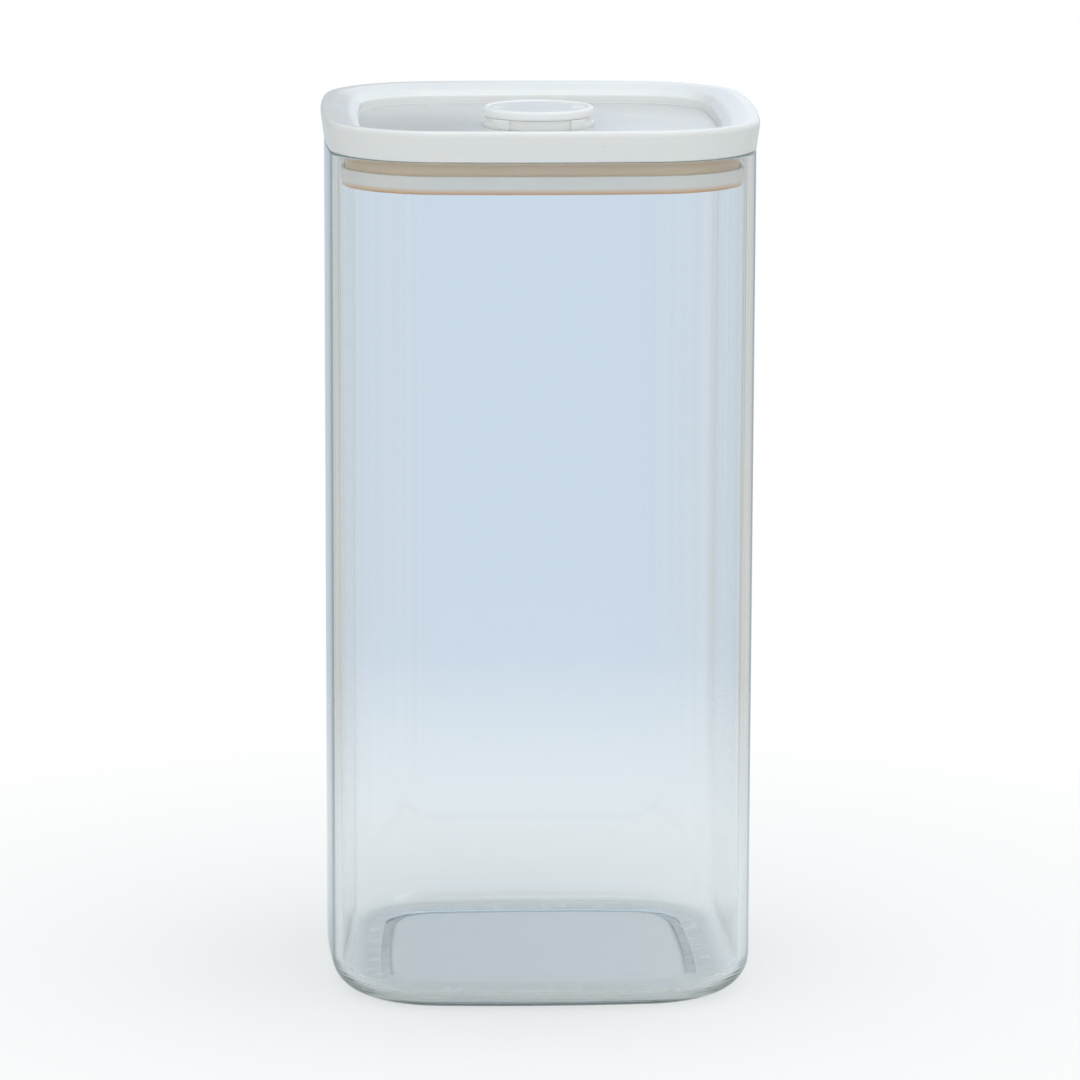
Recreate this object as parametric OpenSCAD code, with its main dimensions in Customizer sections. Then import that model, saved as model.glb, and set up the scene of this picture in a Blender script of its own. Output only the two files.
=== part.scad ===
// Square food canister: a glass vessel with round corners, a plug lid with a
// silicone lip seal, and an air vent in the lid that opens when its knob is pulled.
// Upright sections are drawn in two numbers: u, the distance outward from the
// vessel's outer face, and z. around() carries a section once round the canister.

/* [Vessel] */
// Width of the vessel across its flat sides
body_w = 120; // [100:1:160]
// Height of the vessel, from what it stands on to its mouth
body_h = 238; // [90:1:320]
// Outer radius of the vessel's upright corners
corner_r = 34.5; // [30:0.5:44]
// Thickness of the glass wall
wall = 3; // [2.4:0.1:3.6]
// Thickness of the glass base
base_t = 3.4; // [2.8:0.2:6]
// Outer round between the sides and the base
base_r = 9.5; // [6:0.5:11]
// Inner round between the wall and the floor
inside_r = 6.5; // [4:0.5:9]
// Round on each edge of the mouth
lip_r = 0.6; // [0.4:0.1:1.1]
// Width of the flat ring that the vessel stands on
foot_w = 5; // [4:0.5:7]
// How far the base is raised inside that ring
foot_rise = 0.8; // [0.4:0.1:1.2]
// Width of the slope that raises it
foot_slope = 3.5; // [2:0.5:4]

/* [Lid cover] */
// Height of the lid's edge band, above the mouth
lid_h = 8.6; // [7.6:0.2:14]
// How far the edge band leans out from its foot to its top
lid_flare = 1.2; // [0.2:0.1:1.6]
// Width of the rim around the recess, seen from above
rim_w = 10.6; // [10:0.2:14]
// Width of the rim's outer part, which is almost level
rim_land = 3.4; // [2:0.1:5]
// How far the rim falls from its outer edge to the recess
rim_drop = 3.2; // [1.5:0.1:4]
// Depth of the recess floor below the rim's outer edge
recess_d = 5.7; // [5.4:0.1:6.2]
// Thickness of the moulded cover
cover_t = 2; // [1.4:0.1:2.2]
// Round on the rim's outer edge
edge_r = 1.4; // [0.4:0.1:1.6]
// Round on the rim's inner edge
inner_edge_r = 0.5; // [0.2:0.1:0.8]

/* [Plug and gasket] */
// Depth of the plug below the lid's edge band
plug_depth = 9.2; // [8.8:0.2:16]
// Gap between the glass and the plug's wall
plug_gap = 1.6; // [1.2:0.1:2]
// Width of the raised ring round the vent, under the plug
hub_w = 2.4; // [1:0.2:5]
// Thickness of the plug's closing plate
plate_t = 1.8; // [1.2:0.1:2.2]
// How far that plate is set up inside the plug's lower edge
plate_rise = 1.2; // [0.6:0.1:2]
// Height of the gasket's lip
lip_h = 3.4; // [2.4:0.1:4]
// Thickness of the gasket's lip
lip_t = 0.8; // [0.5:0.1:0.9]
// Height of the gasket's foot, which the plug's groove holds
foot_h = 2.4; // [1.6:0.1:2.6]
// Depth of that groove
groove_d = 1.2; // [0.8:0.1:1.4]
// How far the plug's lower edge is set back behind the gasket
bead_back = 0.3; // [0.1:0.1:0.5]

/* [Vent] */
// Diameter of the knob's cap
cap_d = 31; // [30:0.2:38]
// Thickness of the cap
cap_t = 2.6; // [2.4:0.1:3]
// Diameter of the knob's skirt, which runs in the cup
skirt_d = 26.2; // [23:0.2:26.4]
// Wall of the skirt
skirt_t = 1.7; // [1.2:0.1:2.2]
// How far the cup's collar, on the recess floor, stands out past the cap
collar_over = 0.1; // [0:0.1:1.5]
// Gap between the collar and the cap
collar_gap = 0.4; // [0.3:0.1:0.6]
// Width of the notches at the collar's four sides
notch_w = 17.4; // [10:0.2:18]
// Depth of those notches
notch_d = 0.7; // [0.3:0.1:0.8]
// Height of the collar that is left below the left and right notches
sill_h = 1.2; // [0.8:0.1:1.4]
// Wall of the cup below its collar
cup_t = 1.1; // [0.8:0.1:1.3]
// Depth of the cup's well, from the recess floor to the web
well_depth = 5; // [4:0.1:5.4]
// Thickness of the web across the cup, which is the vent's seat
web_t = 1.4; // [1:0.1:2]
// Wall of the sleeve that guides the stem
sleeve_t = 1.9; // [1.4:0.1:2.2]
// Number of air holes in the web
hole_n = 6; // [3:1:8]
// Diameter of each air hole
hole_d = 2.4; // [1:0.1:2.6]
// Thickness of the silicone washer under the skirt
seal_t = 1.2; // [0.8:0.1:1.6]
// How far the knob lifts
pull = 3; // [1:0.1:3.2]
// Diameter of the stem
stem_d = 6; // [5:0.1:6.4]
// Wall of the boss that holds the stem, inside the skirt
boss_t = 1.8; // [1.2:0.1:2]
// Thickness of the O-ring's cord
o_ring_t = 1; // [0.8:0.1:1.2]
// Thickness of the clip that stops the stem
clip_t = 0.8; // [0.5:0.1:1]

/* [Fits] */
// Gap between the lid's edge band and the mouth
seat_gap = 0.2; // [0.2:0.05:0.5]
// Gap between the gasket's lip and the glass
lip_gap = 0.3; // [0.2:0.05:0.5]
// Gap between lid pieces that are welded or snapped together
joint_gap = 0.1; // [0.05:0.05:0.2]
// Gap between pieces of the vent that move apart
move_gap = 0.3; // [0.2:0.05:0.4]
// Radial gap between the stem and its sleeve
run_gap = 0.08; // [0.03:0.01:0.1]

/* [Hidden] */
curve = 96;                       // facets in a full turn of the preview
small_curve = 32;                 // the same, for holes and the O-ring's cord
slack = 1;                        // how far cutters run past what they cut
flat = body_w / 2 - corner_r;     // from the middle of a side to its corner's centre
lid_z = body_h + seat_gap;        // the lid's own zero: the foot of its edge band

// Lid, as u outward from the glass and heights above lid_z
floor_z = lid_h - recess_d;
floor_low = floor_z - cover_t;
rim_in = lid_flare - rim_w;                              // inner edge of the rim
recess_out = rim_in + cover_t;                           // far side of the recess wall
land_fall = 0.08;                                        // share of the fall that the level part takes
brow_at = [0.78, 0.55];                                  // shares of the rim's width and fall at the brow
knee = [lid_flare - rim_land, lid_h - rim_drop * land_fall];               // where the rim starts to fall
brow = [lid_flare - rim_w * brow_at.x, lid_h - rim_drop * brow_at.y];      // where it steepens
crown_r = 6;                                             // round at the knee and the brow
hollow_low = lid_h - rim_drop - cover_t + 0.15 * cover_t;    // lowest roof of the rim's hollow
plug_out = -wall - plug_gap;
plug_in = recess_out + joint_gap;     // the plug stands against the recess wall
bead_h = 1.6;                         // height of the plug's lower edge, below the groove
bead_out = plug_out - bead_back;
flange_h = 1.6;                       // flange of the plug, which shuts the rim's hollow
upstand_h = hollow_low - joint_gap;
plate_z = -plug_depth + plate_rise;
plate_top = plate_z + plate_t;
groove_z = -plug_depth + bead_h;      // lower side of the gasket's groove
groove_in = plug_out - groove_d;

// How deep each section reaches inward, and the flat square that closes its middle
corner_left = 5;                      // the corners stop this far short of their own centres
reach = corner_r - corner_left;
core_margin = 1.5;
core_clear = max(base_r + foot_w + foot_slope, rim_w) + core_margin;
core = 2 * (flat + (corner_r - core_clear) / sqrt(2));

// Vent, as radii and as heights above lid_z
cap_r = cap_d / 2;
collar_r = cap_r + collar_over;
skirt_r = skirt_d / 2;
skirt_in = skirt_r - skirt_t;
well_r = skirt_r + move_gap;
cup_r = well_r + cup_t;
port_ledge = 0.6;                     // the cup's foot rests on this much of the plug
port_r = well_r - port_ledge;         // hole through the plug, below the web
stack_gap = 0.3;                      // a canister stacked on the lid clears the cap by this
cap_top = lid_h - stack_gap;
cap_low = cap_top - cap_t;
collar_top = cap_low - collar_gap;
face_sink = 0.4;                      // the cap's face lies this far inside its raised edge
cap_face = cap_top - face_sink;
cap_edge_w = 1.3;
cap_web = 1.4;
roof = cap_face - cap_web;            // underside of the cap, inside the skirt
fine_r = 0.2;                         // rounds on the vent's edges, from the finest up
soft_r = 0.3;
full_r = 0.4;
cap_edge_r = 0.6;
web_top = floor_z - well_depth;
web_low = web_top - web_t;
skirt_low = web_top + move_gap + seal_t;
cup_low = plate_top - plate_t / 3;    // the cup's tail sits this deep in the plug's plate
stem_r = stem_d / 2;
bore_r = stem_r + run_gap;
sleeve_r = bore_r + sleeve_t;
boss_r = stem_r + boss_t;
boss_low = floor_z - 0.2;
sleeve_top = boss_low - 2 * move_gap;
stem_top = roof - 0.4;
clip_top = web_low - pull - move_gap;
clip_low = clip_top - clip_t;
clip_in = stem_r - 0.7;               // bottom of the clip's groove
clip_w = 2.2;                         // how far the clip stands out from the stem
snap_gap = 0.05;                      // the clip's and the O-ring's play in their grooves
stem_low = clip_low - 0.8;
ring_z = web_low + 1.2;               // the O-ring stays inside the sleeve over the whole lift
ring_r = bore_r - snap_gap - o_ring_t / 2;   // to the middle of the O-ring's cord

// ---- shapes used by more than one piece ----

// Points of an arc of radius r that rounds the corner b between a and c
function corner_arc(a, b, c, r, steps = 5) =
    let (u = (a - b) / norm(a - b),
         v = (c - b) / norm(c - b),
         half = acos(u * v) / 2,
         m = b + (u + v) / norm(u + v) * r / sin(half),
         p = b + u * r / tan(half) - m,
         q = b + v * r / tan(half) - m,
         from = atan2(p.y, p.x),
         turn = atan2(q.y, q.x) - from,
         sweep = turn > 180 ? turn - 360 : turn < -180 ? turn + 360 : turn)
    [for (i = [0:steps]) m + r * [cos(from + sweep * i / steps), sin(from + sweep * i / steps)]];

// A closed outline from corners given as [x, y] or, where rounded, [x, y, radius]
function rounded(p) =
    let (n = len(p), at = [for (q = p) [q[0], q[1]]])
    [for (i = [0:n - 1]) each (p[i][2] == undef ? [at[i]] :
        corner_arc(at[(i + n - 1) % n], at[i], at[(i + 1) % n], p[i][2]))];

// Carries a section once round the canister: four flat sides and four corners
module around() {
    for (side = [0:3]) rotate([0, 0, 90 * side]) translate([flat, flat, 0]) {
        rotate([90, 0, 0]) linear_extrude(2 * flat) translate([corner_r, 0]) children();
        rotate_extrude(angle = 90, $fn = curve) translate([corner_r, 0]) children();
    }
}

// The flat middle of a floor or panel, from z up by t
module middle(z, t) {
    translate([-core / 2, -core / 2, z]) cube([core, core, t]);
}

// What rounding takes off a corner at the origin whose material lies at -x, -y
module round_off(r) {
    difference() {
        translate([-r, -r]) square(r + slack);
        translate([-r, -r]) circle(r, $fn = curve);
    }
}

// A solid of revolution, from an outline of [radius, height] corners
module turned(outline) {
    rotate_extrude($fn = curve) polygon(rounded(outline));
}

module on_lid() {
    translate([0, 0, lid_z]) children();
}

// ---- vessel ----

module vessel_section() {
    foot_in = -base_r - foot_w;
    incline = foot_slope / foot_rise;
    difference() {
        union() {
            translate([-wall, 0]) square([wall, body_h]);
            translate([-reach, 0]) square([reach, base_t]);
            translate([-wall - inside_r, base_t - slack]) square(inside_r + slack);
        }
        translate([-wall - inside_r, base_t + inside_r]) circle(inside_r, $fn = curve);
        mirror([0, 1]) round_off(base_r);
        translate([0, body_h]) round_off(lip_r);
        translate([-wall, body_h]) mirror([1, 0]) round_off(lip_r);
        polygon(rounded([[-reach - slack, -slack], [foot_in + slack * incline, -slack],
                         [foot_in - foot_slope, foot_rise, foot_slope * 3], [-reach - slack, foot_rise]]));
    }
}

module vessel() color([0.82, 0.92, 0.94, 0.35]) {
    around() vessel_section();
    middle(foot_rise, base_t - foot_rise);
}

// ---- lid ----

// Edge band, falling rim, recess wall and the outer part of the recess floor
module cover_section() {
    polygon(rounded([
        [-cover_t, 0], [0, 0, inner_edge_r], [lid_flare, lid_h, edge_r],
        [knee.x, knee.y, crown_r], [brow.x, brow.y, crown_r],
        [rim_in, lid_h - rim_drop, inner_edge_r], [rim_in, floor_z, inner_edge_r],
        [-reach, floor_z], [-reach, floor_low], [recess_out, floor_low], [recess_out, hollow_low],
        [brow.x + cover_t / 2, brow.y - cover_t], [-cover_t, lid_h - 1.2 * cover_t]]));
}

module lid_cover() color([0.9, 0.92, 0.93]) on_lid() {
    around() cover_section();
    difference() {
        middle(floor_low, cover_t);
        cylinder(r = cup_r + joint_gap, h = 4 * lid_h, center = true, $fn = curve);
    }
}

// Flange in the rim's hollow, plug wall with the gasket's groove, and the closing plate
module plug_section() {
    flange_out = -cover_t - joint_gap;
    groove_top = groove_z + foot_h + joint_gap;
    soft = plate_rise / 3;
    polygon(rounded([
        [flange_out, 0], [flange_out, flange_h], [plug_out, flange_h], [plug_out, upstand_h],
        [plug_in, upstand_h], [plug_in, plate_top, soft], [-reach, plate_top], [-reach, plate_z],
        [plug_in, plate_z, soft], [plug_in + plate_rise / 2, -plug_depth, soft / 2],
        [bead_out, -plug_depth, soft], [bead_out, groove_z], [groove_in, groove_z],
        [groove_in, groove_top], [plug_out, groove_top], [plug_out, 0]]));
}

module lid_plug() color([0.86, 0.85, 0.8]) on_lid() {
    around() plug_section();
    difference() {
        union() {
            middle(plate_z, plate_t);
            translate([0, 0, -plug_depth]) cylinder(r = cup_r + hub_w, h = plate_rise + slack, $fn = curve);
        }
        cylinder(r = port_r, h = 4 * plug_depth, center = true, $fn = curve);
        translate([0, 0, cup_low - joint_gap])
            cylinder(r = cup_r + joint_gap, h = plug_depth, $fn = curve);
    }
}

// Foot in the plug's groove, a skirt over the plug's lower edge, and a lip that rises
// towards the glass
module gasket_section() {
    low = groove_z + joint_gap / 2;
    foot_in = groove_in + joint_gap;
    skirt_back = bead_out + joint_gap;
    face = -wall - lip_gap;
    root = plug_out + joint_gap;
    tip_r = lip_t / 3;
    polygon(rounded([
        [foot_in, low], [skirt_back, low], [skirt_back, -plug_depth, tip_r],
        [face - lip_t / 2, -plug_depth, 0.9 * lip_t], [face, low + lip_h / 2, lip_h],
        [face, low + lip_h, tip_r], [face - lip_t, low + lip_h, tip_r],
        [root, low + foot_h, tip_r], [foot_in, low + foot_h]]));
}

module gasket() color([0.83, 0.83, 0.82]) on_lid() around() gasket_section();

// ---- vent ----

// Collar on the recess floor, tube down to the plug's plate, and the web with its sleeve
module vent_cup() color([0.78, 0.78, 0.76]) on_lid() {
    hole_ring = (sleeve_r + skirt_r) / 2;
    difference() {
        turned([[well_r, web_top], [well_r, collar_top, fine_r], [collar_r, collar_top, full_r],
                [collar_r, floor_z], [cup_r, floor_z], [cup_r, cup_low], [well_r, cup_low],
                [well_r, web_low], [bore_r, web_low], [bore_r, sleeve_top],
                [sleeve_r, sleeve_top, soft_r], [sleeve_r, web_top]]);
        difference() {
            for (turn = [0, 90]) rotate([0, 0, turn])
                translate([-notch_w / 2, -collar_r - slack, floor_z + (turn == 0 ? -slack : sill_h)])
                    cube([notch_w, 2 * (collar_r + slack), collar_top]);
            cylinder(r = collar_r - notch_d, h = 4 * lid_h, center = true, $fn = curve);
        }
        for (i = [0:hole_n - 1]) rotate([0, 0, (i + 0.5) * 360 / hole_n])
            translate([hole_ring, 0, web_low - slack])
                cylinder(d = hole_d, h = web_t + 2 * slack, $fn = small_curve);
    }
}

// Cap with a raised edge and two raised bars, skirt, and the boss that holds the stem
module vent_knob() color([0.93, 0.93, 0.91]) on_lid() {
    bar = [3, 0.9, 0.25];
    inner = cap_r - cap_edge_w;
    bar_at = inner - bar.x;
    bore = stem_r + snap_gap / 2;
    turned([[0, stem_top], [bore, stem_top], [bore, boss_low], [boss_r, boss_low], [boss_r, roof, full_r],
            [skirt_in, roof, full_r], [skirt_in, skirt_low], [skirt_r, skirt_low], [skirt_r, cap_low],
            [cap_r, cap_low, cap_edge_r], [cap_r, cap_top, cap_edge_r], [inner, cap_top, fine_r],
            [inner - soft_r, cap_face, fine_r], [0, cap_face]]);
    for (side = [-1, 1]) translate([side * bar_at, 0, cap_face])
        cube([bar.x, bar.y, 2 * bar.z], center = true);
}

// Silicone washer over the air holes, with a ring that grips the inside of the skirt
module vent_seal() color([0.87, 0.86, 0.84]) on_lid() {
    low = skirt_low - seal_t;
    hole = sleeve_r + 2 * move_gap;
    outer = skirt_r - joint_gap;
    grip = skirt_in - joint_gap / 2;
    grip_t = 1.2;
    grip_h = 1.6;
    grip_top = skirt_low + grip_h;
    turned([[hole, low], [outer, low, soft_r], [outer, skirt_low], [grip, skirt_low],
            [grip, grip_top, soft_r], [grip - grip_t, grip_top, soft_r], [grip - grip_t, skirt_low],
            [hole, skirt_low]]);
}

// Stem with a groove for the O-ring and one for the clip
module vent_stem() color([0.75, 0.75, 0.76]) on_lid() {
    ring_in = ring_r - o_ring_t / 2 - snap_gap;
    ring_half = o_ring_t / 2 + 3 * snap_gap;
    turned([[0, stem_low], [stem_r, stem_low, full_r], [stem_r, clip_low - snap_gap],
            [clip_in, clip_low - snap_gap], [clip_in, clip_top + snap_gap], [stem_r, clip_top + snap_gap],
            [stem_r, ring_z - ring_half], [ring_in, ring_z - ring_half], [ring_in, ring_z + ring_half],
            [stem_r, ring_z + ring_half], [stem_r, stem_top, full_r], [0, stem_top]]);
}

module stem_o_ring() color([0.2, 0.2, 0.21]) on_lid()
    translate([0, 0, ring_z]) rotate_extrude($fn = curve)
        translate([ring_r, 0]) circle(d = o_ring_t, $fn = small_curve);

// Open ring that snaps into the stem's lower groove
module retaining_clip() color([0.7, 0.71, 0.73]) on_lid() {
    inner = clip_in + snap_gap;
    mouth = 1.6 * inner;
    translate([0, 0, clip_low]) difference() {
        cylinder(r = stem_r + clip_w, h = clip_t, $fn = curve);
        translate([0, 0, -slack]) cylinder(r = inner, h = clip_t + 2 * slack, $fn = curve);
        translate([0, -mouth / 2, -slack]) cube([2 * stem_d, mouth, clip_t + 2 * slack]);
    }
}

vessel();
lid_cover();
lid_plug();
gasket();
vent_cup();
vent_knob();
vent_seal();
vent_stem();
stem_o_ring();
retaining_clip();
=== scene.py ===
"""Looks of the food canister: bowed and redrawn pieces, finishes, a pale floor, light and the camera."""

import math

import bmesh
import bpy
from mathutils import Matrix, Vector


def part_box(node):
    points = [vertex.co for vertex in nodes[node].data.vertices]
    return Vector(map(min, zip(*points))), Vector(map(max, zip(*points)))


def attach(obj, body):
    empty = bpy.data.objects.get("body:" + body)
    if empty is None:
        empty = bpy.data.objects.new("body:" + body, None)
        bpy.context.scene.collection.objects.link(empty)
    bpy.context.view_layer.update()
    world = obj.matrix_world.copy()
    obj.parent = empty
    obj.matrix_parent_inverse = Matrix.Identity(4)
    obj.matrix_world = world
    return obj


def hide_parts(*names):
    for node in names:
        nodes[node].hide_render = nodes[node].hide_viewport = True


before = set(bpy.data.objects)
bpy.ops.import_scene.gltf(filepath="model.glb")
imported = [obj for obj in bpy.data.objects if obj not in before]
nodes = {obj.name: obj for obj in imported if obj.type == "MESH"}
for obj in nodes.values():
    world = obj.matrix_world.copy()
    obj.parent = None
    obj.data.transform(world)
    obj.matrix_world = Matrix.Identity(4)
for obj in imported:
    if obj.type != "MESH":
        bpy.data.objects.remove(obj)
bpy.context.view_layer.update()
pieces = dict(nodes)        # the pieces that show, by CAD node: the node itself or what stands for it

MM = 0.001

# Camera: a long lens, a little above the lid and a few degrees round to the left
LENS = 192.4
SENSOR = 36
SIGHT = 50                  # how far the camera sees
EYE = Vector((-0.0727, -1.6078, 0.4400))
PITCH = math.radians(11.158)
YAW = math.radians(2.62)
ROLL = math.radians(0.176)

# What is round the object. The camera itself sees white. Light, gloss and glass see this room:
# pale blue behind the object, with soft upright streaks to its sides, under a bright cool ceiling.
WHITE = (1, 1, 1, 1)
ROOM = (0.72, 0.83, 0.96, 1)
ROOM_SIDE = (0.80, 0.81, 0.78, 1)
SIDE_SPAN = (0.12, 0.5)     # the room turns to its side colour between these directions in x
CEILING = (0.84, 0.93, 1.02, 1)
CEILING_SPAN = (0.35, 0.75)         # and to its ceiling between these directions in z
ROOM_LIGHT = 0.85
STREAK_FLAT = (1, 1, 0.12)  # scales the directions for the streaks' noises, which draws them out upright
STREAK_NOISES = ((13, 0), (17, 7.3))        # scale and shift of each noise
STREAK_DETAIL = 2
STREAKS = (                 # which noise, the values it comes in over, and its colour
    (0, (0.5, 0.6), (0.56, 0.61, 0.66, 1)),
    (1, (0.54, 0.62), (0.84, 0.82, 0.75, 1)),
    (0, (0.42, 0.34), (0.95, 0.98, 1.0, 1)),
)

# Floor
FLOOR_COLOUR = (0.91, 0.91, 0.89, 1)
FLOOR_SIZE = 12
CLEAR_SPAN = (0.16, 0.42)   # in gloss and glass the floor gives way to the room between these distances
SHADOW_SPAN = (0.05, 0.30)  # for the camera its shadow fades to white between these
SHADOW_SHARE = 0.45         # share of white that the camera sees right at the object

# Lamps: name, place, size, power, colour, and whether gloss and glass show it
LAMPS = (
    ("window", (0.3, -0.05, 1.58), 1.2, 5.6, (1, 1, 1), True),
    ("fill", (-0.25, -1.65, 0.55), 1.2, 6.4, (1.0, 0.97, 0.93), False),
)
LAMP_TARGET = Vector((0, 0, 0.2))

# Upright cards behind the object: name, low left corner, width, height and colour. What the lid mirrors is
# darker on its left and lighter on its right, as in the photo.
CARDS = (
    ("dark_card", (-0.6, 0.5, 0.26), 0.6, 0.4, (0.26, 0.28, 0.30, 1)),
    ("light_card", (0.05, 0.5, 0.26), 0.9, 0.4, (0.90, 0.97, 1.04, 1)),
)

# The canister seen from above: each side is an arc of a wide circle, tangent to the corners' arcs
SIDE_R = 412 * MM
CORNER_AT = 28.14 * MM      # the centre of each corner's arc, from the middle planes
SIDE_STEPS = 8
CORNER_STEPS = 32
SQUARE_FROM = 40 * MM       # a section point further out than this follows that outline
ROUND_WITHIN = 25 * MM      # one nearer than this goes round in a circle

# Sections, and the meshes swept from them
SAME = 0.0001 * MM          # points nearer than this are one
CUT_SAME = 0.002 * MM       # and so are those nearer than this where a node is cut
STRAIGHT = 0.002            # a section that turns by less than this angle is straight
SUPPORT = 0.06 * MM         # distance of the extra points that keep flat faces flat beside rounds
SUPPORTED = 12 * SUPPORT    # a straight stretch longer than this gets them
SHARP = math.radians(32)    # an edge that turns by more than this stays sharp

# Redrawn vent pieces
COLLAR_EDGE = 0.45 * MM     # the collar's top rounds lie this close to its top
COLLAR_RISE = 0.36 * MM
CAP_EDGE = 0.4 * MM         # height of the raised edge round the cap's face
BAR_EDGE = (0.44 * MM, 0.46 * MM)   # the long edges of the cap's two bars lie this far from its middle
BAR_END = 14 * MM           # and all of both bars nearer than this
BAR_WIDER = 2.3

# Glass
GLASS_IOR = 1.5
GLASS_TINT = (0.55, 0.84, 0.88, 1)
GLASS_TINT_DENSITY = 9
LAMPLIGHT = (0.97, 0.975, 0.97, 1)  # what a wall lets through of a lamp's light
MIRRORED = 3                # light that a wall has mirrored this often leaves it,
FREED = (0.32, 0.38, 0.39, 1)       # and this much of it is left

# Milky plastics: the two close colours that a piece drifts between, and its roughness
LID = ((0.905, 0.90, 0.88, 1), (0.895, 0.895, 0.878, 1), 0.235)
# the plug's tan stands for painted shade and warm bounce light; the plastic itself is milky white
SHADED_PLUG = ((0.86, 0.71, 0.54, 1), (0.83, 0.685, 0.52, 1), 0.34)
VENT = ((1.0, 0.98, 0.91, 1), (0.97, 0.95, 0.88, 1), 0.36)
KNOB = ((0.99, 0.985, 0.965, 1), (0.97, 0.97, 0.955, 1), 0.34)
PLASTIC_IOR = 1.49
MILK = 0.5                  # share of the light that goes into the plastic,
MILK_DEPTH = 2 * MM         # how deep it goes,
MILK_REACH = (1.0, 0.8, 0.55)       # and the share of that depth for each colour
FACING = (0.4, 0.9)         # a face counts as looking up, or out, from the first and fully from the second
RECESS_FLOOR = 3.05 * MM    # just over the recess floor, from the foot of the lid's edge band; upward faces below it carry the painted shade of the recess floor

# Silicone
SILICONE_IOR = 1.41
SILICONE_MILK = 0.2
SILICONE_DEPTH = 0.6 * MM
SILICONE_REACH = (1.0, 0.8, 0.6)
SILICONE = (1.0, 0.99, 0.96, 1)
# painted warm bounce light and shade at the gasket's foot
PAINTED_GLOW_SILICONE = (0.84, 0.44, 0.14, 1)
PAINTED_GLOW_HEIGHT = 1.8 * MM        # the gasket turns from the painted warm glow to its own colour over this height at its foot

RUBBER_IOR = 1.5


# ---- bowed pieces ----


def outline():
    """Points once round the vessel's outer face seen from above, each with its outward direction."""
    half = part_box("vessel")[1].x
    side_at = half - SIDE_R
    tilt = math.atan2(CORNER_AT, CORNER_AT - side_at)
    corner_r = SIDE_R - math.hypot(CORNER_AT, CORNER_AT - side_at)
    quarter = []
    for i in range(-SIDE_STEPS, SIDE_STEPS):
        out = Vector((math.cos(tilt * i / SIDE_STEPS), math.sin(tilt * i / SIDE_STEPS)))
        quarter.append((Vector((side_at, 0)) + SIDE_R * out, out))
    for i in range(CORNER_STEPS):
        angle = tilt + (math.pi / 2 - 2 * tilt) * i / CORNER_STEPS
        out = Vector((math.cos(angle), math.sin(angle)))
        quarter.append((Vector((CORNER_AT, CORNER_AT)) + corner_r * out, out))
    points = []
    for turn in range(4):
        spin = Matrix.Rotation(turn * math.pi / 2, 2)
        points += [(spin @ point, spin @ out) for point, out in quarter]
    return half, points


def ring(half, points, distance, height):
    """The loop that a section point goes round, from its distance to the axis and its height."""
    share = min(max((distance - ROUND_WITHIN) / (SQUARE_FROM - ROUND_WITHIN), 0), 1)
    from_axis = max(distance, SQUARE_FROM)
    loop = []
    for point, out in points:
        square = (point - (half - from_axis) * out) * distance / from_axis
        circle = square.normalized() * distance if distance > 0 else square
        loop.append((*circle.lerp(square, share), height))
    return loop


def section(name):
    """A CAD node's section at x = 0, in front of the axis, as one chain of (distance to the axis, height),
    and whether that chain is closed."""
    cut = bmesh.new()
    cut.from_mesh(nodes[name].data)
    bmesh.ops.bisect_plane(cut, geom=cut.verts[:] + cut.edges[:] + cut.faces[:], dist=SAME,
                           plane_co=(0, 0, 0), plane_no=(1, 0, 0), clear_inner=True, clear_outer=True)
    bmesh.ops.bisect_plane(cut, geom=cut.verts[:] + cut.edges[:], dist=SAME,
                           plane_co=(0, 0, 0), plane_no=(0, 1, 0), clear_outer=True)
    bmesh.ops.remove_doubles(cut, verts=cut.verts[:], dist=CUT_SAME)
    ends = [v for v in cut.verts if len(v.link_edges) == 1]
    start = ends[0] if ends else cut.verts[:][0]
    chain, edge, here = [start], None, start
    while True:
        edge = next((e for e in here.link_edges if e is not edge), None)
        if edge is None:
            break
        here = edge.other_vert(here)
        if here is start:
            break
        chain.append(here)
    if len(chain) != len(cut.verts):
        raise RuntimeError("section of %s: %d of %d points in one chain"
                           % (name, len(chain), len(cut.verts)))
    chain = [(max(-v.co.y, 0.0), v.co.z) for v in chain]
    cut.free()
    return chain, not ends


def straight(a, b, c):
    """Whether b merely lies on the way from a to c."""
    ab, bc = Vector(b) - Vector(a), Vector(c) - Vector(b)
    return ab.length < SAME or bc.length < SAME or abs(ab.angle(bc)) < STRAIGHT


def tidy_chain(chain, closed):
    """The chain without the points that lie on a straight line, and with a support point near each end of
    every straight stretch."""
    kept = list(chain)
    changed = True
    while changed:
        changed = False
        for i in range(len(kept)):
            if not closed and i in (0, len(kept) - 1):
                continue
            if straight(kept[i - 1], kept[i], kept[(i + 1) % len(kept)]):
                del kept[i]
                changed = True
                break
    full = []
    for i, here in enumerate(kept):
        full.append(here)
        if i == len(kept) - 1 and not closed:
            break
        after = kept[(i + 1) % len(kept)]
        length = math.dist(here, after)
        if length > SUPPORTED:
            for share in (SUPPORT / length, 1 - SUPPORT / length):
                full.append(tuple(a + (b - a) * share for a, b in zip(here, after)))
    return full


def stand_in(data, new_name, name, body):
    """Shows a mesh in a CAD node's place, on its body."""
    piece = bpy.data.objects.new(new_name, data)
    bpy.context.scene.collection.objects.link(piece)
    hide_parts(name)
    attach(piece, body)
    pieces[name] = piece


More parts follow.
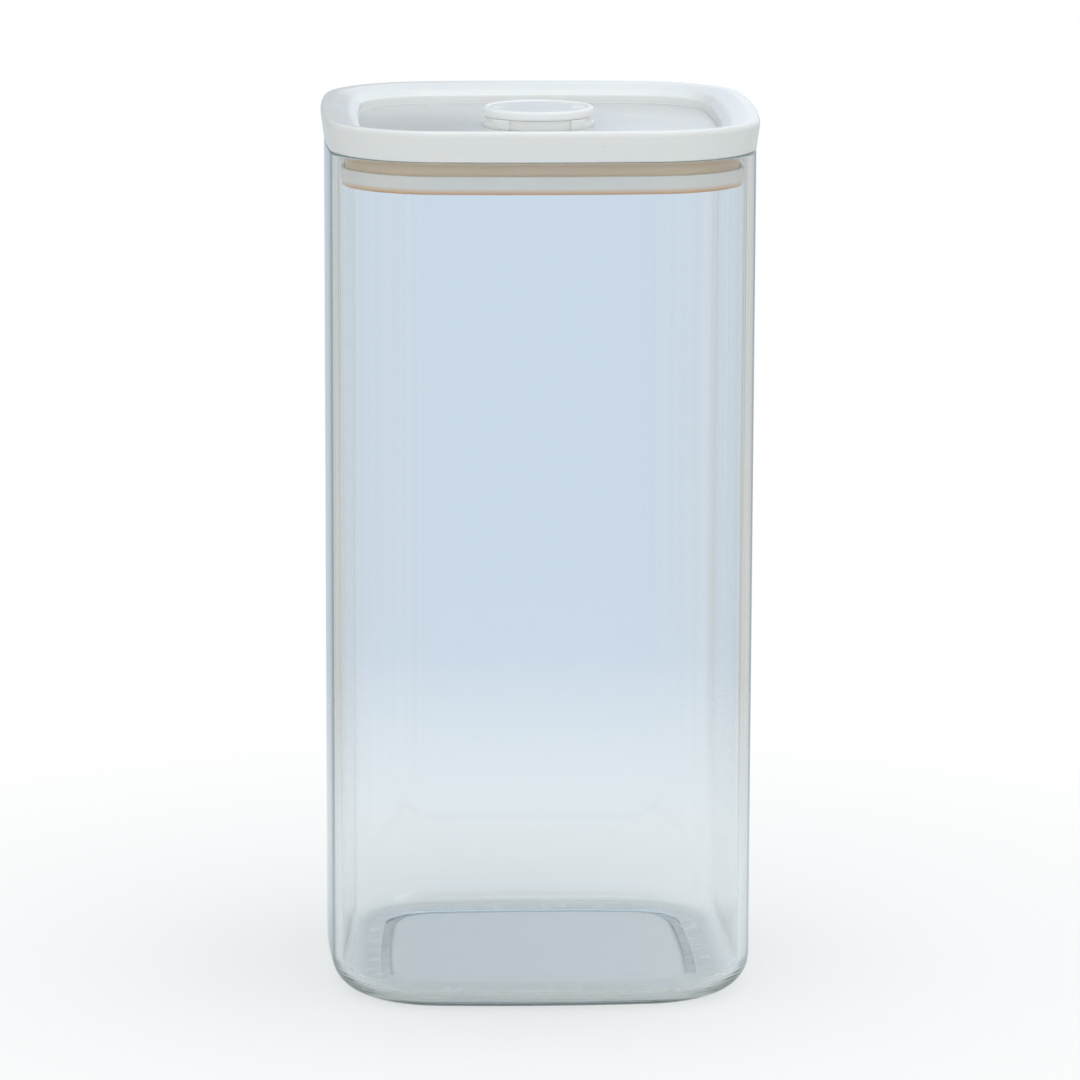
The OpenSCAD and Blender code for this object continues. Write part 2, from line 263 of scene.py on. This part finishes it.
def bowed(name, body):
    """A copy of a CAD node with bowed sides, swept from the node's own section, in the node's place."""
    chain, closed = section(name)
    chain = tidy_chain(chain, closed)
    half, points = outline()
    mesh = bmesh.new()
    rings = [[mesh.verts.new(place) for place in ring(half, points, *at)] for at in chain]
    for i in range(len(rings) if closed else len(rings) - 1):
        low, high = rings[i], rings[(i + 1) % len(rings)]
        for k in range(len(points)):
            after = (k + 1) % len(points)
            mesh.faces.new((low[k], low[after], high[after], high[k]))
    bmesh.ops.remove_doubles(mesh, verts=mesh.verts[:], dist=SAME)
    bmesh.ops.recalc_face_normals(mesh, faces=mesh.faces[:])
    data = bpy.data.meshes.new(name + "_bowed")
    mesh.to_mesh(data)
    mesh.free()
    data.shade_smooth()
    data.set_sharp_from_angle(angle=SHARP)
    stand_in(data, name + "_bowed", name, body)


# ---- redrawn vent pieces ----


def redrawn(name, new_name, body, moved):
    """A copy of a CAD node, in the node's place, with its points put where moved says."""
    data = nodes[name].data.copy()
    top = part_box(name)[1].z
    for corner in data.vertices:
        corner.co = moved(corner.co, top)
    stand_in(data, new_name, name, body)


def raised(at, top):
    """Where a point of the vent's cup goes: its collar's top edge comes up close under the cap. The CAD
    leaves it lower, clear of the collision pieces."""
    return at + Vector((0, 0, COLLAR_RISE)) if at.z > top - COLLAR_EDGE else at


def widened(at, top):
    """Where a point of the knob goes: the two bars on its cap are wider than in the CAD."""
    near, far = BAR_EDGE
    on_bar = near < abs(at.y) < far and abs(at.x) < BAR_END and at.z > top - 2 * CAP_EDGE
    return Vector((at.x, at.y * BAR_WIDER, at.z)) if on_bar else at


# ---- node helpers ----


class Nodes:
    """The node tree of a material or of the world, with short calls that make and join nodes."""

    def __init__(self, owner, output="ShaderNodeOutputMaterial"):
        owner.use_nodes = True
        self.owner = owner
        self.tree = owner.node_tree
        self.tree.nodes.clear()
        self.output = self.add(output)

    def add(self, kind, **settings):
        node = self.tree.nodes.new(kind)
        for key, value in settings.items():
            setattr(node, key, value)
        return node

    def join(self, source, target):
        self.tree.links.new(source, target)

    def put(self, value, socket):
        """Joins value to socket if value is a socket too, and otherwise sets it there."""
        if isinstance(value, bpy.types.NodeSocket):
            self.join(value, socket)
        else:
            socket.default_value = value

    def place(self):
        """The piece's own coordinates, in metres."""
        return self.add("ShaderNodeTexCoord").outputs["Object"]

    def split(self, vector):
        """The X, Y and Z outputs of a vector."""
        parts = self.add("ShaderNodeSeparateXYZ")
        self.join(vector, parts.inputs["Vector"])
        return parts.outputs

    def stretched(self, vector, scale):
        """A vector times scale, axis by axis."""
        mapping = self.add("ShaderNodeMapping")
        mapping.inputs["Scale"].default_value = scale
        self.join(vector, mapping.inputs["Vector"])
        return mapping.outputs["Vector"]

    def noise(self, scale, detail=3, roughness=0.5, where=None):
        """Noise from 0 to 1, on the piece's own coordinates unless where says others. scale is in features
        per unit of those."""
        texture = self.add("ShaderNodeTexNoise")
        texture.inputs["Scale"].default_value = scale
        texture.inputs["Detail"].default_value = detail
        texture.inputs["Roughness"].default_value = roughness
        self.join(self.place() if where is None else where, texture.inputs["Vector"])
        return texture.outputs["Fac"]

    def height(self):
        """Height above the floor, in metres."""
        return self.split(self.place())["Z"]

    def span(self, source, low, high, to_low=0.0, to_high=1.0):
        """source, from low to high, spread over to_low to to_high and held there."""
        spread = self.add("ShaderNodeMapRange", clamp=True)
        self.join(source, spread.inputs["Value"])
        for key, value in zip(("From Min", "From Max", "To Min", "To Max"), (low, high, to_low, to_high)):
            spread.inputs[key].default_value = value
        return spread.outputs["Result"]

    def mix(self, share, first, second):
        """Colour from first to second as share goes from 0 to 1. Each is a colour or a socket."""
        blend = self.add("ShaderNodeMix", data_type="RGBA")
        self.join(share, blend.inputs["Factor"])
        for key, value in (("A", first), ("B", second)):
            self.put(value, [s for s in blend.inputs if s.name == key and s.type == "RGBA"][0])
        return [s for s in blend.outputs if s.type == "RGBA"][0]

    def mix_shaders(self, share, first, second):
        """The shader first where share is 0, and second where it is 1."""
        blend = self.add("ShaderNodeMixShader")
        for value, socket in zip((share, first, second), blend.inputs):
            self.join(value, socket)
        return blend.outputs["Shader"]

    def maths(self, operation, *values):
        """One sum of numbers or sockets."""
        sum_node = self.add("ShaderNodeMath", operation=operation)
        for value, socket in zip(values, sum_node.inputs):
            self.put(value, socket)
        return sum_node.outputs["Value"]

    def vectors(self, operation, *values):
        """One sum of vectors or sockets, as its node."""
        sum_node = self.add("ShaderNodeVectorMath", operation=operation)
        for value, socket in zip(values, sum_node.inputs):
            self.put(value, socket)
        return sum_node

    def scaled(self, colour, share):
        """A colour times a number. Both are sockets."""
        times = self.vectors("SCALE", colour)
        self.join(share, times.inputs["Scale"])
        return times.outputs["Vector"]

    def facing(self):
        """How far the surface faces up, and how far it faces out from the upright axis, from -1 to 1."""
        normal = self.add("ShaderNodeNewGeometry").outputs["Normal"]
        up = self.split(normal)["Z"]
        level = self.vectors("MULTIPLY", self.place(), (1, 1, 0))
        outward = self.vectors("NORMALIZE", level.outputs["Vector"])
        return up, self.vectors("DOT_PRODUCT", normal, outward.outputs["Vector"]).outputs["Value"]

    def bump(self, shader, source, depth):
        """Raises shader's surface by source, whose 0 to 1 is depth in metres."""
        bump = self.add("ShaderNodeBump")
        bump.inputs["Distance"].default_value = depth
        self.join(source, bump.inputs["Height"])
        self.join(bump.outputs["Normal"], shader.inputs["Normal"])

    def principled(self, **values):
        """A Principled shader on the output. Keys are its sockets' names, with _ for a space."""
        shader = self.add("ShaderNodeBsdfPrincipled")
        for key, value in values.items():
            shader.inputs[key.replace("_", " ")].default_value = value
        self.surface(shader.outputs["BSDF"])
        return shader

    def coloured(self, kind, colour):
        """The output of a shader of this kind, in one colour."""
        shader = self.add(kind)
        shader.inputs["Color"].default_value = colour
        return shader.outputs[0]

    def surface(self, shader):
        """Puts a shader's output on the surface."""
        self.join(shader, self.output.inputs["Surface"])


def new_material(name):
    return Nodes(bpy.data.materials.new(name))


def dress(names, material):
    """Puts material on pieces."""
    for name in names:
        data = pieces[name].data
        data.materials.clear()
        data.materials.append(material)


# ---- finishes ----
# A noise is given as (features per metre, detail, roughness). Its span is the part of it that is used, with
# what that is spread over.


def clear_glass():
    """Soda-lime glass: clear across a wall and sea green along it, with faint waves and wiping marks. Lamps
    shine through it, and light that a wall has mirrored MIRRORED times leaves it, where it would go black."""
    marks, marks_span = (38, 4, 0.6), (0.52, 0.75, 0.0, 0.035)
    waves, waves_stretch, wave_depth = (26, 1, 0.5), (1, 1, 0.35), 0.04 * MM
    n = new_material("clear_glass")
    glass = n.principled(Base_Color=WHITE, IOR=GLASS_IOR, Transmission_Weight=1.0)
    n.join(n.span(n.noise(*marks), *marks_span), glass.inputs["Roughness"])
    n.bump(glass, n.noise(*waves, n.stretched(n.place(), waves_stretch)), wave_depth)
    path = n.add("ShaderNodeLightPath").outputs
    mirrored = n.maths("GREATER_THAN", path["Glossy Depth"], MIRRORED - 0.5)
    seen = n.mix_shaders(mirrored, glass.outputs["BSDF"], n.coloured("ShaderNodeBsdfTransparent", FREED))
    lamplight = n.coloured("ShaderNodeBsdfTransparent", LAMPLIGHT)
    n.surface(n.mix_shaders(path["Is Shadow Ray"], seen, lamplight))
    tint = n.add("ShaderNodeVolumeAbsorption")
    tint.inputs["Color"].default_value = GLASS_TINT
    tint.inputs["Density"].default_value = GLASS_TINT_DENSITY
    n.join(tint.outputs["Volume"], n.output.inputs["Volume"])
    return n.owner


def milky_plastic(name, colour, shade, roughness, up=1.0, out=1.0, floor_share=1.0, floor_top=0.0):
    """Milky moulded plastic: the share MILK of the light goes into it and comes out warmer, under a satin
    skin with a fine grain, slow changes of tone and a few dust specks. Its colour carries painted shade by
    facing: faces that look up keep only the share up of it, those that look out the share out, and those that
    look up from below the given floor height the given floor share."""
    drift, drift_span = (22, 2), (0.2, 0.8)
    mottle, mottle_span = (2400, 1), (0.2, 0.8, 0.985, 1.015)
    dust, dust_span, dust_colour = (1700, 1, 0.4), (0.765, 0.79, 0.0, 0.3), (0.2, 0.17, 0.13, 1)
    rub, rub_span = (70, 3), (0.35, 0.7, roughness - 0.01, roughness + 0.02)
    grain, grain_depth = (2600, 2, 0.6), 0.004 * MM
    n = new_material(name)
    plastic = n.principled(IOR=PLASTIC_IOR, Subsurface_Weight=MILK, Subsurface_Scale=MILK_DEPTH,
                           Subsurface_Radius=MILK_REACH)
    tone = n.mix(n.span(n.noise(*drift), *drift_span), colour, shade)
    level, outward = n.facing()
    # painted shade: the colour is cut by how far a face looks up and how far it looks out
    share = n.maths("MULTIPLY", n.span(level, *FACING, 1.0, up), n.span(outward, *FACING, 1.0, out))
    # painted shade on faces that look up from below the given height: a sunken floor kept darker
    if floor_share != 1:
        floor_shade_mask = n.maths("MULTIPLY", n.maths("LESS_THAN", n.height(), floor_top), n.span(level, *FACING))
        share = n.maths("MULTIPLY", share, n.span(floor_shade_mask, 0.0, 1.0, 1.0, floor_share / up))
    tone = n.scaled(tone, share)
    tone = n.scaled(tone, n.span(n.noise(*mottle), *mottle_span))
    n.join(n.mix(n.span(n.noise(*dust), *dust_span), tone, dust_colour), plastic.inputs["Base Color"])
    n.join(n.span(n.noise(*rub), *rub_span), plastic.inputs["Roughness"])
    n.bump(plastic, n.noise(*grain), grain_depth)
    return n.owner


def silicone():
    """Translucent silicone, with painted warm bounce light and shade towards the gasket's foot."""
    wear, wear_span = (160, 4, 0.6), (0.3, 0.7, 0.34, 0.5)
    grain, grain_depth = (900, 3), 0.01 * MM
    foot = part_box("gasket")[0].z
    n = new_material("silicone")
    rubber = n.principled(IOR=SILICONE_IOR, Subsurface_Weight=SILICONE_MILK, Subsurface_Scale=SILICONE_DEPTH,
                          Subsurface_Radius=SILICONE_REACH)
    # painted warm bounce light and shade: orange at the gasket's foot, its own colour above
    tone = n.mix(n.span(n.height(), foot, foot + PAINTED_GLOW_HEIGHT), PAINTED_GLOW_SILICONE, SILICONE)
    n.join(tone, rubber.inputs["Base Color"])
    n.join(n.span(n.noise(*wear), *wear_span), rubber.inputs["Roughness"])
    n.bump(rubber, n.noise(*grain), grain_depth)
    return n.owner


def turned_steel():
    """Turned stainless steel: fine rings round the piece's upright axis."""
    turning, turning_stretch, turning_depth = (3200, 2, 0.6), (0.05, 0.05, 1), 0.006 * MM
    dark, light, roughness_span = (0.50, 0.50, 0.51, 1), (0.66, 0.66, 0.67, 1), (0.3, 0.7, 0.29, 0.4)
    n = new_material("turned_steel")
    steel = n.principled(Metallic=1.0)
    rings = n.noise(*turning, n.stretched(n.place(), turning_stretch))
    n.join(n.mix(rings, dark, light), steel.inputs["Base Color"])
    n.join(n.span(rings, *roughness_span), steel.inputs["Roughness"])
    n.bump(steel, rings, turning_depth)
    return n.owner


def o_ring_rubber():
    """Black rubber with a dull bloom."""
    bloom, bloom_span = (700, 4, 0.6), (0.3, 0.7, 0.45, 0.65)
    black, grey = (0.012, 0.012, 0.013, 1), (0.035, 0.035, 0.036, 1)
    grain, grain_depth = (2400, 3), 0.008 * MM
    n = new_material("o_ring_rubber")
    rubber = n.principled(IOR=RUBBER_IOR)
    dull = n.noise(*bloom)
    n.join(n.mix(dull, black, grey), rubber.inputs["Base Color"])
    n.join(n.span(dull, *bloom_span), rubber.inputs["Roughness"])
    n.bump(rubber, n.noise(*grain), grain_depth)
    return n.owner


def dress_all():
    # painted shade on the lid: its tops, its outer band and its recess floor darker, each by its own share
    recess_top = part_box("lid_cover")[0].z + RECESS_FLOOR
    face_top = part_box("vent_knob")[1].z - CAP_EDGE / 2
    dress(["vessel"], clear_glass())
    dress(["lid_cover"], milky_plastic("lid_plastic", *LID, up=0.91, out=0.81, floor_share=0.70,
                                       floor_top=recess_top))
    # the plug's tan colour is painted shade and warm bounce light
    dress(["lid_plug"], milky_plastic("plug_plastic", *SHADED_PLUG))
    dress(["vent_cup"], milky_plastic("vent_plastic", *VENT))
    # painted shade on the knob: its upward faces darker, and those below the top of its raised cap edge
    # darker still
    dress(["vent_knob"], milky_plastic("knob_plastic", *KNOB, up=0.85, floor_share=0.74, floor_top=face_top))
    dress(["gasket", "vent_seal"], silicone())
    dress(["vent_stem", "retaining_clip"], turned_steel())
    dress(["stem_o_ring"], o_ring_rubber())


# ---- floor, light and camera ----


def floor():
    """A pale floor that keeps the object's soft shadow. Further out it is white to the camera, and gives way
    to the room in gloss and through glass."""
    bpy.ops.mesh.primitive_plane_add(size=FLOOR_SIZE, location=(0, 0, 0))
    plane = bpy.context.object
    plane.name = "floor"
    n = new_material("pale_floor")
    path = n.add("ShaderNodeLightPath").outputs
    far = n.vectors("LENGTH", n.place()).outputs["Value"]
    through = n.maths("MAXIMUM", path["Is Glossy Ray"], path["Is Transmission Ray"])
    clear = n.maths("MULTIPLY", n.span(far, *CLEAR_SPAN), through)
    white = n.maths("MULTIPLY", n.span(far, *SHADOW_SPAN, SHADOW_SHARE, 1.0), path["Is Camera Ray"])
    beyond = n.mix_shaders(path["Is Camera Ray"], n.coloured("ShaderNodeBsdfTransparent", WHITE),
                           n.coloured("ShaderNodeEmission", WHITE))
    paint = n.coloured("ShaderNodeBsdfDiffuse", FLOOR_COLOUR)
    n.surface(n.mix_shaders(n.maths("MAXIMUM", clear, white), paint, beyond))
    plane.data.materials.append(n.owner)


def room():
    """White where the camera sees it, and the room for everything else."""
    world = bpy.data.worlds.new("room")
    bpy.context.scene.world = world
    n = Nodes(world, "ShaderNodeOutputWorld")
    towards = n.add("ShaderNodeTexCoord").outputs["Generated"]
    flat = n.stretched(towards, STREAK_FLAT)
    noises = []
    for scale, shift in STREAK_NOISES:
        moved = n.vectors("ADD", flat, (shift, shift, shift)).outputs["Vector"]
        noises.append(n.noise(scale, STREAK_DETAIL, where=moved))
    way = n.split(towards)
    aside = n.span(n.maths("ABSOLUTE", way["X"]), *SIDE_SPAN)
    colour = n.mix(aside, ROOM, ROOM_SIDE)
    for which, values, streak in STREAKS:
        colour = n.mix(n.maths("MULTIPLY", aside, n.span(noises[which], *values)), colour, streak)
    colour = n.mix(n.span(way["Z"], *CEILING_SPAN), colour, CEILING)
    light = n.add("ShaderNodeBackground")
    light.inputs["Strength"].default_value = ROOM_LIGHT
    n.join(colour, light.inputs["Color"])
    by_camera = n.add("ShaderNodeLightPath").outputs["Is Camera Ray"]
    n.surface(n.mix_shaders(by_camera, light.outputs["Background"],
                            n.coloured("ShaderNodeBackground", WHITE)))


def card(name, corner, width, height, colour):
    """An upright card that shows only in gloss, where it darkens or lightens what shiny faces mirror."""
    low, across, up = Vector(corner), Vector((width, 0, 0)), Vector((0, 0, height))
    data = bpy.data.meshes.new(name)
    data.from_pydata([low, low + across, low + across + up, low + up], [], [(0, 1, 2, 3)])
    screen = bpy.data.objects.new(name, data)
    bpy.context.scene.collection.objects.link(screen)
    n = new_material(name)
    n.surface(n.coloured("ShaderNodeEmission", colour))
    n.owner.cycles.emission_sampling = "NONE"
    data.materials.append(n.owner)
    for kind in ("camera", "diffuse", "transmission", "volume_scatter", "shadow"):
        setattr(screen, "visible_" + kind, False)


def softbox(name, place, size, power, colour, shows):
    """A square lamp of that size at place, turned to the object. Gloss and glass show it if shows is true."""
    data = bpy.data.lights.new(name, "AREA")
    data.shape = "SQUARE"
    data.size = size
    data.energy = power
    data.color = colour
    lamp = bpy.data.objects.new(name, data)
    bpy.context.scene.collection.objects.link(lamp)
    lamp.location = place
    lamp.rotation_euler = (LAMP_TARGET - Vector(place)).to_track_quat("-Z", "Y").to_euler()
    lamp.visible_camera = False
    lamp.visible_glossy = lamp.visible_transmission = shows


def camera():
    data = bpy.data.cameras.new("camera")
    data.lens = LENS
    data.sensor_width = SENSOR
    data.clip_end = SIGHT
    eye = bpy.data.objects.new("camera", data)
    bpy.context.scene.collection.objects.link(eye)
    turn = (Matrix.Rotation(-YAW, 4, "Z") @ Matrix.Rotation(math.pi / 2 - PITCH, 4, "X")
            @ Matrix.Rotation(ROLL, 4, "Z"))
    eye.matrix_world = Matrix.Translation(EYE) @ turn
    bpy.context.scene.camera = eye


bowed("vessel", "vessel")
bowed("lid_cover", "lid")
bowed("lid_plug", "lid")
bowed("gasket", "lid")
redrawn("vent_cup", "vent_cup_raised", "lid", raised)
redrawn("vent_knob", "vent_knob_marked", "knob", widened)
camera()
room()
floor()
for lamp in LAMPS:
    softbox(*lamp)
for screen in CARDS:
    card(*screen)
dress_all()
bpy.context.scene.view_settings.view_transform = "Standard"
